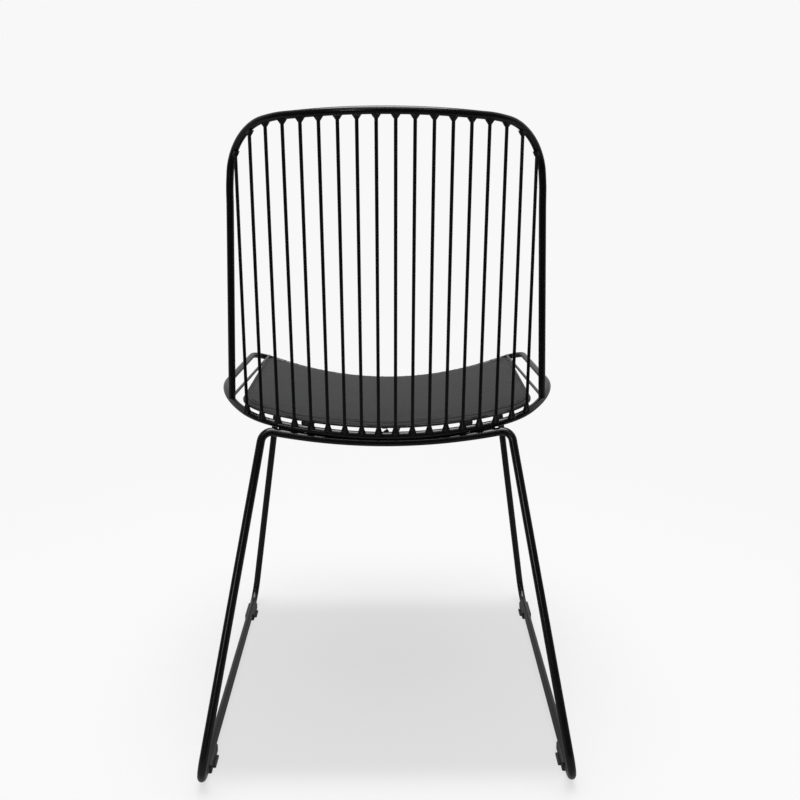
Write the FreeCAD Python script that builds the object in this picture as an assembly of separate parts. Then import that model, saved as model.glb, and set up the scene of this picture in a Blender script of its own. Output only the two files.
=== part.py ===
import FreeCAD, Part
import math
import os

# Bent-wire dining chair: a rod frame, eighteen back-and-seat wires, a sled base and a loose seat pad.
# Millimetres, +Z up, and the sitter faces -Y. The chair is drawn with the floor at Z = 0 and the rear
# middle of the seat ring at Y = 0, then moved so that its origin is on the floor under its outline.

# Rods, and the clearance that the welding leaves between two rods that touch
frame_rod = 9.5
base_rod = 11.0
wire_rod = 4.3
weld_gap = 0.1

# Heights of the rods' centres above the floor
top_rail_height = 815.25
ring_rear_height = 413.0
ring_front_height = 407.5
runner_height = 9.0

# Seat ring, seen from above, and its dish, seen from behind
ring_half_width = 239.0
ring_depth = 404.0
ring_front_radius = 38.0
ring_bow_radius = 1000.0
ring_bow_half = 145.0
ring_corner_radius = 75.0
ring_corner_heading = 52.0
dish_rear = 36.0
dish_front = 48.7
dish_half_width = 236.0

# Back frame: the rail's bow from above, its arch and corners from behind, and the uprights
rail_reach = 104.5
rail_bow_radius = 235.0
rail_arch_radius = 3100.0
rail_corner_width = 64.0
upright_top_half = 197.5
upright_top_height = 742.0
upright_foot_half = 216.5
upright_bend_run = 35.0
upright_foot_sink = 2.85

# Wires
wire_count = 18
wire_pitch = 22.0
wire_bend_radius = 7.5
wire_heel_reach = 6.0
wire_level_run = 40.0
wire_front_lift = 3.5
wire_front_bite = 1.0
side_wire_half = 214.0
side_wire_upright_bite = 0.8

# Sled base
rear_foot_half = 227.0
rear_foot_reach = 141.0
front_foot_half = 244.5
front_foot_reach = -378.5
rear_leg_top_half = 163.0
front_leg_top_half = 187.0
rear_crossbar_reach = -4.5
front_crossbar_reach = -364.0
foot_bend_radius = 32.0
shoulder_bend_radius = 14.0
shoulder_run = 17.5

# Glides that clip on the runners
glide_length = 42.0
glide_wall = 2.2
glide_lip_height = 2.6
glide_edge_radius = 2.0
glide_flange = 3.0
glide_flange_height = 3.0
rear_glide_clearance = 8.0
front_glide_clearance = 1.5
glide_fit = 0.05

# Weld beads
bead_root = 3.0
bead_margin = 0.15
top_bead_radius = 6.8
top_bead_length = 4.8
top_bead_depth = 6.4
heel_bead_radius = 5.4
heel_bead_below = 4.0
heel_bead_above = 7.0
front_bead_radius = 3.4
front_bead_length = 2.6
front_bead_drop = 1.4
crossing_bead_radius = 3.3
upright_bead_radius = 7.0
upright_bead_length = 4.5
crossbar_bead_radius = 2.4
crossbar_bead_length = 34.0
crossbar_bead_offset = 3.6
crossbar_bead_places = (45.0, 126.0)

# Seat pad
pad_rear_half = 195.0
pad_front_half = 211.0
pad_rear_margin = 1.0
pad_length = 357.0
pad_rear_corner = 40.0
pad_front_corner = 22.0
pad_front_draw = 2.5
pad_edge_thickness = 9.0
pad_edge_bulge = 2.6
pad_side_thin = 0.45
pad_crown = 8.0
pad_rest_gap = 0.15
pad_skin = 1.2

# Straps round two of the wires, and the zip
strap_wire = 99.0
strap_offset = 5.0
strap_width = 17.5
strap_thickness = 1.4
strap_length = 24.0
strap_inset = 3.0
strap_slack = 0.5
slider_width = 6.5
slider_depth = 2.6
slider_height = 3.4
puller_length = 11.0
puller_width = 4.4
puller_thickness = 1.0
puller_tilt = 35.0
zip_place = 3.0


def vector(x, y, z):
    """Point or direction in the chair's frame."""
    return FreeCAD.Vector(x, y, z)


def unit(direction):
    """The direction with a length of one."""
    return direction * (1.0 / direction.Length)


def largest(shape):
    """The biggest solid of a shape."""
    return max(shape.Solids, key=lambda solid: solid.Volume)


def mirrored(shape):
    """The same shape on the other side of the chair's middle plane."""
    return shape.mirror(vector(0, 0, 0), vector(1, 0, 0))


def both_halves(half):
    """One solid from a half and its mirror image, which meet in the middle plane."""
    return largest(half.fuse(mirrored(half)))


# Rods are swept along straight runs and tangent arcs

def arc_from(start, heading, end):
    """Edge that leaves start along heading and reaches end: an arc, or a line if end is straight on."""
    chord = end - start
    side = chord - heading * chord.dot(heading)
    if side.Length < 1e-5 * chord.Length:
        return Part.LineSegment(start, end).toShape()
    side = unit(side)
    radius = chord.dot(chord) / (2.0 * chord.dot(side))
    centre = start + side * radius
    return Part.Arc(start, centre + unit(start + end - centre * 2.0) * radius, end).toShape()


def even_headings(points, first, last):
    """Headings of a smooth curve through the points, with its first and last heading given."""
    headings = [first]
    for before, here, after in zip(points, points[1:], points[2:]):
        one, two = here - before, after - here
        headings.append(unit(unit(one) * two.Length + unit(two) * one.Length))
    return headings + [last]


def smooth_edges(points, headings):
    """Tangent arcs, two between each pair of points, that pass each point along its heading."""
    edges = []
    for start, end, leave, arrive in zip(points, points[1:], headings, headings[1:]):
        chord = end - start
        bend = 2.0 * (1.0 - leave.dot(arrive))
        along = chord.dot(leave + arrive)
        if bend < 1e-9:
            reach = chord.dot(chord) / (2.0 * along)
        else:
            reach = (math.sqrt(along ** 2 + bend * chord.dot(chord)) - along) / bend
        joint = (start + end + (leave - arrive) * reach) * 0.5
        edges.append(arc_from(start, leave, joint))
        edges.append(arc_from(joint, unit(joint - start - leave * reach), end))
    return edges


def bent_edges(corners, radii):
    """Straight runs joined by tangent arcs, with one radius for each inner corner."""
    edges = []
    start = corners[0]
    for before, corner, after, radius in zip(corners, corners[1:], corners[2:], radii):
        back, ahead = unit(before - corner), unit(after - corner)
        half = 0.5 * math.acos(back.dot(ahead))
        enter = corner + back * (radius / math.tan(half))
        leave = corner + ahead * (radius / math.tan(half))
        middle = corner + unit(back + ahead) * (radius / math.sin(half) - radius)
        edges.append(Part.LineSegment(start, enter).toShape())
        edges.append(Part.Arc(enter, middle, leave).toShape())
        start = leave
    edges.append(Part.LineSegment(start, corners[-1]).toShape())
    return edges


def rod(edges, diameter):
    """Solid round rod along a row of edges."""
    first = edges[0]
    start = first.valueAt(first.FirstParameter)
    heading = first.tangentAt(first.FirstParameter)
    section = Part.Wire([Part.makeCircle(0.5 * diameter, start, heading)])
    return Part.Wire(edges).makePipeShell([section], True, False)


# The seat ring: a bowed rear, two rounded corners and long sides, lying in a dished surface

def ring_side_radius():
    """Radius of the long bend from the rear corner into the straight side."""
    corner_x = ring_plan(ring_corner_heading)[0]
    return (ring_half_width - corner_x) / (1.0 - math.sin(math.radians(ring_corner_heading)))


def ring_plan(heading):
    """Place on the ring, from above, where its outline has turned by this many degrees."""
    bow_heading = math.asin(ring_bow_half / ring_bow_radius)
    corner_heading = math.radians(ring_corner_heading)
    turned = math.radians(heading)
    stretches = [(ring_bow_radius, 0.0, bow_heading), (ring_corner_radius, bow_heading, corner_heading)]
    if heading > ring_corner_heading:
        stretches.append((ring_side_radius(), corner_heading, turned))
    x, y = 0.0, 0.0
    for radius, first, last in stretches:
        last = max(first, min(last, turned))
        x += radius * (math.sin(last) - math.sin(first))
        y -= radius * (math.cos(first) - math.cos(last))
    return x, y


def ring_heading(x):
    """How many degrees the ring's outline has turned at this distance from the middle."""
    low, high = 0.0, 90.0
    for _ in range(50):
        middle = 0.5 * (low + high)
        if ring_plan(middle)[0] < abs(x):
            low = middle
        else:
            high = middle
    return low


def ring_y(x):
    """Where the rear of the ring lies at this distance from the middle."""
    return ring_plan(ring_heading(x))[1]


def dish_depth(y):
    """How much higher the ring's sides are than its middle."""
    return dish_rear - (dish_front - dish_rear) * y / ring_depth


def seat_z(x, y):
    """Height of the dished surface that holds the ring's centre line."""
    middle = ring_rear_height - (ring_front_height - ring_rear_height) * y / ring_depth
    return middle + dish_depth(y) * (x / dish_half_width) ** 2


def slant(x, y):
    """Length, along the upward direction, of one unit square to the dished surface."""
    return math.hypot(1.0, 2.0 * dish_depth(y) * x / dish_half_width ** 2)


def make_seat_ring():
    """Closed ring of rod round the seat."""
    bow_end = math.degrees(math.asin(ring_bow_half / ring_bow_radius))
    turns = [bow_end * share for share in (0.0, 0.35, 0.7)]
    turns += [bow_end + (ring_corner_heading - bow_end) * share for share in (0.0, 0.33, 0.67)]
    turns += [ring_corner_heading + (90.0 - ring_corner_heading) * share for share in (0.0, 0.25, 0.5, 0.75)]
    plan = [ring_plan(turn) + (turn,) for turn in turns]
    side_start, side_end = ring_plan(90.0)[1], ring_front_radius - ring_depth
    plan += [(ring_half_width, side_start + (side_end - side_start) * share, 90.0) for share in (0.0, 0.33, 0.67)]
    front_half = ring_half_width - ring_front_radius
    for turn in (0.0, 30.0, 60.0):
        angle = math.radians(turn)
        plan.append((front_half + ring_front_radius * math.cos(angle),
                     side_end - ring_front_radius * math.sin(angle), 90.0 + turn))
    plan += [(front_half * share, -ring_depth, 180.0) for share in (1.0, 0.75, 0.5, 0.25, 0.0)]
    points, headings = [], []
    for x, y, turn in plan:
        ahead_x, ahead_y = math.cos(math.radians(turn)), -math.sin(math.radians(turn))
        points.append(vector(x, y, seat_z(x, y)))
        headings.append(unit(vector(2.0 * ahead_x, 2.0 * ahead_y,
                                    seat_z(x + ahead_x, y + ahead_y) - seat_z(x - ahead_x, y - ahead_y))))
    return both_halves(rod(smooth_edges(points, headings), frame_rod))


# The back frame: an inverted U of rod, rolled to a bow, that stands on the ring

def rail_y(x):
    """Where the top rail lies, from above."""
    return rail_reach - rail_bow_radius + math.sqrt(rail_bow_radius ** 2 - x ** 2)


def rail_z(x):
    """Height of the frame's centre at this distance from the middle, round its top corner too."""
    flat_half = upright_top_half - rail_corner_width
    level_x = min(abs(x), flat_half)
    level = top_rail_height - rail_arch_radius + math.sqrt(rail_arch_radius ** 2 - level_x ** 2)
    share = (abs(x) - level_x) / rail_corner_width
    return upright_top_height + (level - upright_top_height) * math.sqrt(max(0.0, 1.0 - share ** 2))


def upright_foot():
    """Centre of the ring under the left upright."""
    y = ring_y(upright_foot_half)
    return vector(upright_foot_half, y, seat_z(upright_foot_half, y))


def upright_direction():
    """Direction of the left upright, down from its top."""
    return unit(upright_foot() - vector(upright_top_half, rail_y(upright_top_half), upright_top_height))


def make_back_frame(ring):
    """Two uprights and the top rail in one bent rod, cut to sit on the ring."""
    flat_half = upright_top_half - rail_corner_width
    places = [flat_half * share for share in (0.0, 0.25, 0.5, 0.75, 1.0)]
    for turn in (20.0, 38.0, 56.0, 73.0, 90.0):
        places.append(flat_half + rail_corner_width * math.sin(math.radians(turn)))
    points = [vector(x, rail_y(x), rail_z(x)) for x in places]
    down = upright_direction()
    points.append(points[-1] + down * upright_bend_run)
    points.append(upright_foot() - down * upright_foot_sink)
    edges = smooth_edges(points, even_headings(points, vector(1, 0, 0), down))
    return largest(both_halves(rod(edges, frame_rod)).cut(ring))


# The wires: from the rail down the back, one bend over the rear of the ring, and on to its front

def wire_rear_lift():
    """Height of a wire's centre over the ring's centre where it lies on the ring's rear."""
    return 0.5 * (frame_rod + wire_rod) + weld_gap


def wire_lift(y):
    """Height of the wires' centres over the ring's surface, which falls towards their front ends."""
    share = max(0.0, -y - wire_level_run) / (ring_depth - wire_level_run)
    return wire_rear_lift() + (wire_front_lift - wire_rear_lift()) * share


def over_ring(x, y, lift):
    """Point at this height, square to the dished surface, over the ring's centre line."""
    return vector(x, y, seat_z(x, y) + lift * slant(x, y))


def wire_at(x, y):
    """Centre of a seat wire at this place."""
    return over_ring(x, y, wire_lift(y))


def wire_places():
    """Distances of the back wires from the middle, from the sitter's left to the right."""
    return [wire_pitch * (0.5 * (wire_count - 1) - number) for number in range(wire_count)]


def wire_top(x):
    """Centre of the back frame where the wire ends."""
    return vector(x, rail_y(x), rail_z(x))


def wire_heel(x):
    """Corner of the wire's bend, just behind the ring's rear."""
    return wire_at(x, ring_y(x) + wire_heel_reach)


def ring_front_y(x):
    """Where the front of the ring lies at this distance from the middle."""
    past_rail = max(0.0, abs(x) - (ring_half_width - ring_front_radius))
    return ring_front_radius - ring_depth - math.sqrt(ring_front_radius ** 2 - past_rail ** 2)


def wire_tip(x):
    """Front end of a seat wire, inside the ring's rod before the rod's shape is cut from it."""
    return over_ring(x, ring_front_y(x) + wire_front_bite, wire_front_lift)


def make_back_seat_wire(x, frame, ring):
    """One wire of the back and seat, whose front end is butted to the ring."""
    edges = bent_edges([wire_top(x), wire_heel(x), wire_tip(x)], [wire_bend_radius])
    return largest(rod(edges, wire_rod).cut(frame).cut(ring))


def side_wire_start(side):
    """Rear end of a side wire, at the front of an upright's foot."""
    start = upright_foot().y - 0.5 * frame_rod + side_wire_upright_bite
    return over_ring(side * side_wire_half, start, wire_rear_lift())


def make_side_seat_wire(side, frame, ring):
    """Short wire beside the pad, from an upright's foot to the front of the ring."""
    edge = Part.LineSegment(side_wire_start(side), wire_tip(side * side_wire_half))
    return largest(rod([edge.toShape()], wire_rod).cut(frame).cut(ring))


# The sled base: two bent rods, each half a crossbar, a leg, a runner, a leg and half a crossbar

def rear_crossbar(x):
    """Centre of the rear crossbar, which follows the dish under the ring."""
    drop = 0.5 * (frame_rod + base_rod) + weld_gap
    y = rear_crossbar_reach
    return vector(x, y, seat_z(x, y) - drop * slant(x, y))


def front_crossbar(x):
    """Centre of the front crossbar, which follows the dish under the seat wires."""
    drop = 0.5 * (wire_rod + base_rod) + weld_gap
    y = front_crossbar_reach
    return wire_at(x, y) - vector(0, 0, drop * slant(x, y))


def crossbar_end(centre, leg_half):
    """Points of a crossbar from the middle to its end, the heading there and the leg's top corner."""
    end = leg_half - shoulder_run
    points = [centre(end * share) for share in (0.0, 0.35, 0.7, 1.0)]
    heading = unit(centre(end + 0.5) - centre(end - 0.5))
    return points, heading, points[-1] + heading * (shoulder_run / heading.x)


def foot_corner(half, reach):
    """Corner where a leg and a runner would meet without their bend."""
    return vector(half, reach, runner_height)


def make_sled_half():
    """The sitter's left half of the base."""
    rear, rear_heading, rear_top = crossbar_end(rear_crossbar, rear_leg_top_half)
    front, front_heading, front_top = crossbar_end(front_crossbar, front_leg_top_half)
    rear_foot = foot_corner(rear_foot_half, rear_foot_reach)
    front_foot = foot_corner(front_foot_half, front_foot_reach)
    corners = [rear[-1], rear_top, rear_foot, front_foot, front_top, front[-1]]
    radii = [shoulder_bend_radius, foot_bend_radius, foot_bend_radius, shoulder_bend_radius]
    edges = smooth_edges(rear, even_headings(rear, vector(1, 0, 0), rear_heading))
    edges += bent_edges(corners, radii)
    front.reverse()
    edges += smooth_edges(front, even_headings(front, front_heading * -1.0, vector(-1, 0, 0)))
    return rod(edges, base_rod)


def bend_reach(before, corner, after, radius):
    """Distance from a corner to where its bend starts."""
    half = 0.5 * math.acos(unit(before - corner).dot(unit(after - corner)))
    return radius / math.tan(half)


def glide_spots():
    """Name, centre and runner heading of the two glides on the sitter's left."""
    rear_top = crossbar_end(rear_crossbar, rear_leg_top_half)[2]
    front_top = crossbar_end(front_crossbar, front_leg_top_half)[2]
    rear_foot = foot_corner(rear_foot_half, rear_foot_reach)
    front_foot = foot_corner(front_foot_half, front_foot_reach)
    along = unit(front_foot - rear_foot)
    rear_reach = bend_reach(rear_top, rear_foot, front_foot, foot_bend_radius)
    front_reach = bend_reach(front_top, front_foot, rear_foot, foot_bend_radius)
    rear = rear_foot + along * (rear_reach + rear_glide_clearance + 0.5 * glide_length)
    front = front_foot - along * (front_reach + front_glide_clearance + 0.5 * glide_length)
    return [("rear_glide", rear, along), ("front_glide", front, along)]


def make_glide(centre, along):
    """Moulded glide that clips round a runner from below, with a small flange on the inner side."""
    outer = 0.5 * base_rod + glide_wall
    top = runner_height + glide_lip_height
    body = Part.makeBox(2.0 * outer, glide_length, top, vector(-outer, -0.5 * glide_length, 0))
    long_edges = [edge for edge in body.Edges if edge.BoundBox.YLength > 0.5 * glide_length]
    body = body.makeFillet(glide_edge_radius, long_edges)
    flange = Part.makeBox(outer + glide_flange, 0.5 * glide_length, glide_flange_height,
                          vector(-outer - glide_flange, -0.25 * glide_length, 0))
    bore_start = vector(0, -glide_length, runner_height)
    bore = Part.makeCylinder(0.5 * base_rod + glide_fit, 2.0 * glide_length, bore_start, vector(0, 1, 0))
    glide = body.fuse(flange).cut(bore)
    glide.rotate(vector(0, 0, 0), vector(0, 0, 1), math.degrees(math.atan2(along.x, -along.y)))
    glide.translate(vector(centre.x, centre.y, 0))
    return largest(glide)


# Weld beads, each cut by the rods that it joins

def bead_cone(start, along, near, near_radius, far, far_radius, rods):
    """Flared bead round a rod, from one distance along it to another."""
    bead = Part.makeCone(near_radius, far_radius, far - near, start + along * near, along)
    for cutter in rods:
        bead = bead.cut(cutter)
    return bead.Solids


def bead_ball(centre, radius, rods):
    """Small bead where two rods cross."""
    bead = Part.makeSphere(radius, centre)
    for cutter in rods:
        bead = bead.cut(cutter)
    return bead.Solids


def make_rail_welds(frame, wires):
    """Beads where the back wires end at the frame."""
    beads = []
    for x, wire in zip(wire_places(), wires):
        along = unit(wire_heel(x) - wire_top(x))
        reach = 0.5 * frame_rod + top_bead_length
        tip = 0.5 * wire_rod + bead_margin
        slab = Part.makeBox(4.0 * top_bead_radius, top_bead_depth, 4.0 * reach,
                            vector(-2.0 * top_bead_radius, -0.5 * top_bead_depth, -2.0 * reach))
        slab.rotate(vector(0, 0, 0), vector(0, 0, 1), -math.degrees(math.asin(x / rail_bow_radius)))
        slab.translate(wire_top(x))
        for bead in bead_cone(wire_top(x), along, bead_root, top_bead_radius, reach, tip, [frame, wire]):
            beads += bead.common(slab).Solids
    return beads


def make_heel_welds(ring, wires):
    """Beads where the back wires bend over the rear of the ring."""
    beads = []
    for x, wire in zip(wire_places(), wires):
        along = unit(wire_top(x) - wire_heel(x))
        tip = 0.5 * wire_rod + bead_margin
        beads += bead_cone(wire_heel(x), along, -heel_bead_below, heel_bead_radius, heel_bead_above, tip,
                           [ring, wire])
    return beads


def make_front_welds(ring, wires, side_wires):
    """Beads where the seat wires are butted to the front of the ring."""
    ends = [(wire_heel(x), wire_tip(x), wire) for x, wire in zip(wire_places(), wires)]
    for side, wire in zip((1.0, -1.0), side_wires):
        ends.append((side_wire_start(side), wire_tip(side * side_wire_half), wire))
    beads = []
    for start, tip, wire in ends:
        reach = 0.5 * frame_rod + front_bead_length
        low_tip = tip - vector(0, 0, front_bead_drop)
        beads += bead_cone(low_tip, unit(start - tip), 0.0, front_bead_radius, reach, 0.5 * wire_rod + bead_margin,
                           [ring, wire])
    return beads


def make_crossbar_wire_welds(base, wires):
    """Beads where the seat wires lie on the front crossbar."""
    beads = []
    for x, wire in zip(wire_places(), wires):
        if abs(x) < front_leg_top_half - shoulder_run:
            y = front_crossbar_reach
            contact = wire_at(x, y) - vector(0, 0, 0.5 * wire_rod * slant(x, y))
            beads += bead_ball(contact, crossing_bead_radius, [base[0] if x > 0 else base[1], wire])
    return beads


def make_upright_welds(ring, frame, side_wires):
    """Beads round the feet of the two uprights."""
    beads = []
    for side, side_wire in ((1.0, side_wires[0]), (-1.0, side_wires[1])):
        foot, down = upright_foot(), upright_direction()
        start = vector(side * foot.x, foot.y, foot.z)
        along = vector(-side * down.x, -down.y, -down.z)
        reach = 0.5 * frame_rod + upright_bead_length
        tip = 0.5 * frame_rod + bead_margin
        cone = bead_cone(start, along, bead_root, upright_bead_radius, reach, tip, [ring, frame, side_wire])
        beads.append(largest(Part.makeCompound(cone)))
    return beads


def make_ring_crossbar_welds(ring, base):
    """Beads in the groove between the ring and the rear crossbar."""
    beads = []
    for place in crossbar_bead_places:
        for x in (place, -place):
            low, high = rear_crossbar(x), vector(x, ring_y(x), seat_z(x, ring_y(x)))
            middle = (low + high) * 0.5 - vector(0, crossbar_bead_offset, 0)
            along = unit(rear_crossbar(x + 1.0) - rear_crossbar(x - 1.0))
            bead = Part.makeCylinder(crossbar_bead_radius, crossbar_bead_length,
                                     middle - along * (0.5 * crossbar_bead_length), along)
            beads.append(largest(bead.cut(ring).cut(base[0] if x > 0 else base[1])))
    return beads


# The seat pad: a crowned slab of foam in a sewn cover, which follows the dish of the wires

def pad_floor(x, y):
    """Height of the pad's underside, just over the seat wires."""
    return wire_at(x, y).z + (0.5 * wire_rod + pad_rest_gap) * slant(x, y)


def pad_flare(y):
    """How much wider the pad is at this place than at the middle of the ring's rear."""
    return 1.0 - (pad_front_half / pad_rear_half - 1.0) * y / (pad_rear_margin + pad_length)


def corner_drop(x, half_width, radius):
    """How far a rounded corner of this radius draws an edge back at this distance from the middle."""
    past = max(0.0, abs(x) - (half_width - radius))
    return radius - math.sqrt(max(0.0, radius ** 2 - past ** 2))


def pad_ends(x, inset):
    """Rear and front edge of the pad at this distance from the middle, before its sides are flared."""
    half_width = pad_rear_half - inset
    bow = ring_bow_radius - math.sqrt(ring_bow_radius ** 2 - x ** 2)
    rear = -pad_rear_margin - bow - corner_drop(x, half_width, pad_rear_corner - inset) - inset
    draw = pad_front_draw * (1.0 - (x / half_width) ** 2)
    front = -pad_rear_margin - pad_length + draw + corner_drop(x, half_width, pad_front_corner - inset) + inset
    return rear, front


def pad_stations(half_width):
    """Distances from the middle at which the pad's outline is drawn, closer together at the sides."""
    corner = half_width - pad_rear_corner
    places = [corner * share for share in (0.0, 0.16, 0.32, 0.48, 0.64, 0.8, 0.92)]
    places += [corner + pad_rear_corner * share for share in (0.04, 0.34, 0.59, 0.79)]
    places += [half_width - pad_edge_bulge * share for share in (1.6, 0.9, 0.3, 0.0)]
    return [-place for place in places[:0:-1]] + places


def pad_section(x, inset, below):
    """Outline of the pad in a plane through it: a flat underside, rounded ends and a crowned top."""
    half_width = pad_rear_half - inset
    rear, front = pad_ends(x, inset)
    past = max(0.0, abs(x) - (half_width - pad_edge_bulge)) / pad_edge_bulge
    full = pad_side_thin + (1.0 - pad_side_thin) * math.sqrt(max(0.0, 1.0 - past ** 2))
    bulge = pad_edge_bulge - inset
    middle = 0.5 * pad_edge_thickness
    low = middle - (middle + below) * full
    high = middle + (middle - inset) * full
    crown = pad_crown * (1.0 - (x / half_width) ** 4) * full

    def at(y, lift):
        wide_x = x * pad_flare(y)
        return vector(wide_x, y, pad_floor(wide_x, y) + lift)

    corners = [at(front + bulge, low), at(rear - bulge, low), at(rear - bulge, high), at(front + bulge, high)]
    edges = [Part.LineSegment(corners[0], corners[1]),
             Part.Arc(corners[1], at(rear, middle), corners[2]),
             Part.Arc(corners[2], at(0.5 * (rear + front), high + crown), corners[3]),
             Part.Arc(corners[3], at(front, middle), corners[0])]
    return Part.Wire([edge.toShape() for edge in edges])


def pad_body(inset, below):
    """Solid of the pad, drawn in all round by the inset and let down at the bottom."""
    sections = [pad_section(x, inset, below) for x in pad_stations(pad_rear_half - inset)]
    return Part.makeLoft(sections, True, True)


def pad_layer(low, high):
    """Wide layer that follows the pad's underside between two heights over it."""
    sections = []
    for x in pad_stations(pad_front_half + pad_skin):
        corners = [(-ring_depth, low), (0.0, low), (0.0, high), (-ring_depth, high), (-ring_depth, low)]
        sections.append(Part.makePolygon([vector(x, y, pad_floor(x, y) + lift) for y, lift in corners]))
    return Part.makeLoft(sections, True, True)


def make_pad():
    """Sewn cover, bottom panel and foam of the pad."""
    whole = pad_body(0.0, 0.0)
    core = pad_body(pad_skin, pad_skin)
    cover = largest(whole.cut(core))
    panel = largest(core.common(pad_layer(0.0, pad_skin)))
    foam = largest(core.cut(pad_layer(-2.0 * pad_skin, pad_skin)))
    return cover, panel, foam


def make_pad_strap(side):
    """Loop of webbing under the pad, round one of the wires and a little outside it."""
    x = side * (strap_wire + strap_offset)
    rear = pad_ends(x, 0.0)[0] - pad_edge_bulge - strap_inset
    depth = wire_rod + pad_rest_gap + strap_slack + strap_thickness
    outer = Part.makeBox(strap_width, strap_length, depth, vector(-0.5 * strap_width, -strap_length, -depth))
    inner = Part.makeBox(strap_width - 2.0 * strap_thickness, 3.0 * strap_length, depth,
                         vector(strap_thickness - 0.5 * strap_width, -2.0 * strap_length, strap_thickness - depth))
    strap = outer.cut(inner)
    slope = 2.0 * dish_depth(rear) * x / dish_half_width ** 2
    strap.rotate(vector(0, 0, 0), vector(0, 1, 0), -math.degrees(math.atan(slope)))
    strap.translate(vector(x, rear, pad_floor(x, rear)))
    return strap


def make_zip(cover):
    """Zip slider on the pad's rear edge, and the puller that hangs from it."""
    rear = pad_ends(zip_place, 0.0)[0]
    height = pad_floor(zip_place, rear)
    slider = Part.makeBox(slider_width, 2.0 * slider_depth, slider_height,
                          vector(zip_place - 0.5 * slider_width, rear - slider_depth, height))
    slider = largest(slider.cut(cover))
    puller = Part.makeBox(puller_length, puller_thickness, puller_width,
                          vector(0, -0.5 * puller_thickness, -puller_width))
    puller.rotate(vector(0, 0, 0), vector(0, 1, 0), puller_tilt)
    puller.translate(vector(zip_place - 0.5 * slider_width, rear + slider_depth - 0.5 * puller_thickness, height))
    return slider, largest(puller.cut(slider))


def make_chair():
    """All the chair's pieces by name."""
    ring = make_seat_ring()
    frame = make_back_frame(ring)
    sled = make_sled_half()
    base = [sled, mirrored(sled)]
    wires = [make_back_seat_wire(x, frame, ring) for x in wire_places()]
    side_wires = [make_side_seat_wire(side, frame, ring) for side in (1.0, -1.0)]
    pieces = {"seat_ring": ring, "back_frame": frame, "sled_frame_left": base[0], "sled_frame_right": base[1]}
    for number, wire in enumerate(wires, 1):
        pieces[f"back_seat_wire_{number:02d}"] = wire
    pieces["side_seat_wire_left"], pieces["side_seat_wire_right"] = side_wires
    for name, centre, along in glide_spots():
        glide = make_glide(centre, along)
        pieces[f"{name}_left"] = glide
        pieces[f"{name}_right"] = mirrored(glide)
    pieces["rail_welds"] = Part.makeCompound(make_rail_welds(frame, wires))
    pieces["ring_rear_welds"] = Part.makeCompound(make_heel_welds(ring, wires))
    pieces["ring_front_welds"] = Part.makeCompound(make_front_welds(ring, wires, side_wires))
    pieces["front_crossbar_welds"] = Part.makeCompound(make_crossbar_wire_welds(base, wires))
    pieces["rear_crossbar_welds"] = Part.makeCompound(make_ring_crossbar_welds(ring, base))
    pieces["upright_welds"] = Part.makeCompound(make_upright_welds(ring, frame, side_wires))
    cover, panel, foam = make_pad()
    pieces["pad_cover"], pieces["pad_bottom_panel"], pieces["pad_foam"] = cover, panel, foam
    pieces["pad_strap_left"] = make_pad_strap(1.0)
    pieces["pad_strap_right"] = make_pad_strap(-1.0)
    pieces["zip_slider"], pieces["zip_puller"] = make_zip(cover)
    return pieces


def main():
    """Moves the chair over its origin and writes each piece to its own file."""
    pieces = make_chair()
    box = Part.makeCompound(list(pieces.values())).optimalBoundingBox(False, False)
    shift = vector(-0.5 * (box.XMin + box.XMax), -0.5 * (box.YMin + box.YMax), -box.ZMin)
    os.makedirs("parts", exist_ok=True)
    for name, piece in pieces.items():
        piece.translate(shift)
        piece.exportStep(f"parts/{name}.step")
        print(f"{name}: {len(piece.Solids)} solids, {piece.Volume:.0f} mm3, valid {piece.isValid()}")
    print(f"size {box.XLength:.2f} x {box.YLength:.2f} x {box.ZLength:.2f} mm, moved by {shift}")


main()
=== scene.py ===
"""Wire chair with a thin stitched seat pad, dressed for its studio picture.

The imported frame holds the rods, wires, welds and glides. This script gives each of them its finish, sews
the seat pad with its zip, straps and tab, and sets up the floor, the lamps and the camera. Lengths are in
metres, +Z is up and the sitter faces -Y.
"""

from __future__ import annotations

import logging
import math
from collections.abc import Sequence
from dataclasses import dataclass, field
from enum import Enum

import bmesh
import bpy
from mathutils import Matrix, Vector
from mathutils.bvhtree import BVHTree

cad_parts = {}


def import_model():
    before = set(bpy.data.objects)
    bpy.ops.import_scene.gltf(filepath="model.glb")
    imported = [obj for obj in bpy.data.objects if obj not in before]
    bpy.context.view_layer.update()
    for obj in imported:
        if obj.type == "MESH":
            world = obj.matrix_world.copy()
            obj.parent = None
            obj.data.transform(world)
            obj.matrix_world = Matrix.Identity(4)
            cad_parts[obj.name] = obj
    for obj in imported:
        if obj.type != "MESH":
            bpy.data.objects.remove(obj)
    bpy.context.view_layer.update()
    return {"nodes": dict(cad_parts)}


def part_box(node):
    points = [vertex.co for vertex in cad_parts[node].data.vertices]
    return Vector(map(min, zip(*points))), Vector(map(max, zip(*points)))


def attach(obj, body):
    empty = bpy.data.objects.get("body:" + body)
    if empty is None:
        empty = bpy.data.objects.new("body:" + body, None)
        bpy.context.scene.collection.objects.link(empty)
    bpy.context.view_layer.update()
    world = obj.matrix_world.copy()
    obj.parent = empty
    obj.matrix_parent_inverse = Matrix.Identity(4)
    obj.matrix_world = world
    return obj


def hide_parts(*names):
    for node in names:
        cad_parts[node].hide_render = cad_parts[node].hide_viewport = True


LOG = logging.getLogger("wire_chair")
BODY = "root"
SQUARE = ((-1, -1), (1, -1), (1, 1), (-1, 1))

Colour = tuple[float, float, float]
Socket = bpy.types.NodeSocket
Inputs = dict[str | int, object]


class Slot(Enum):
    """The record's material slots."""

    COAT = "black_powder_coat"
    PLASTIC = "glide_plastic"
    LEATHER = "pad_leather"
    BACKING = "pad_backing"
    WEBBING = "webbing"
    METAL = "zip_metal"


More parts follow.
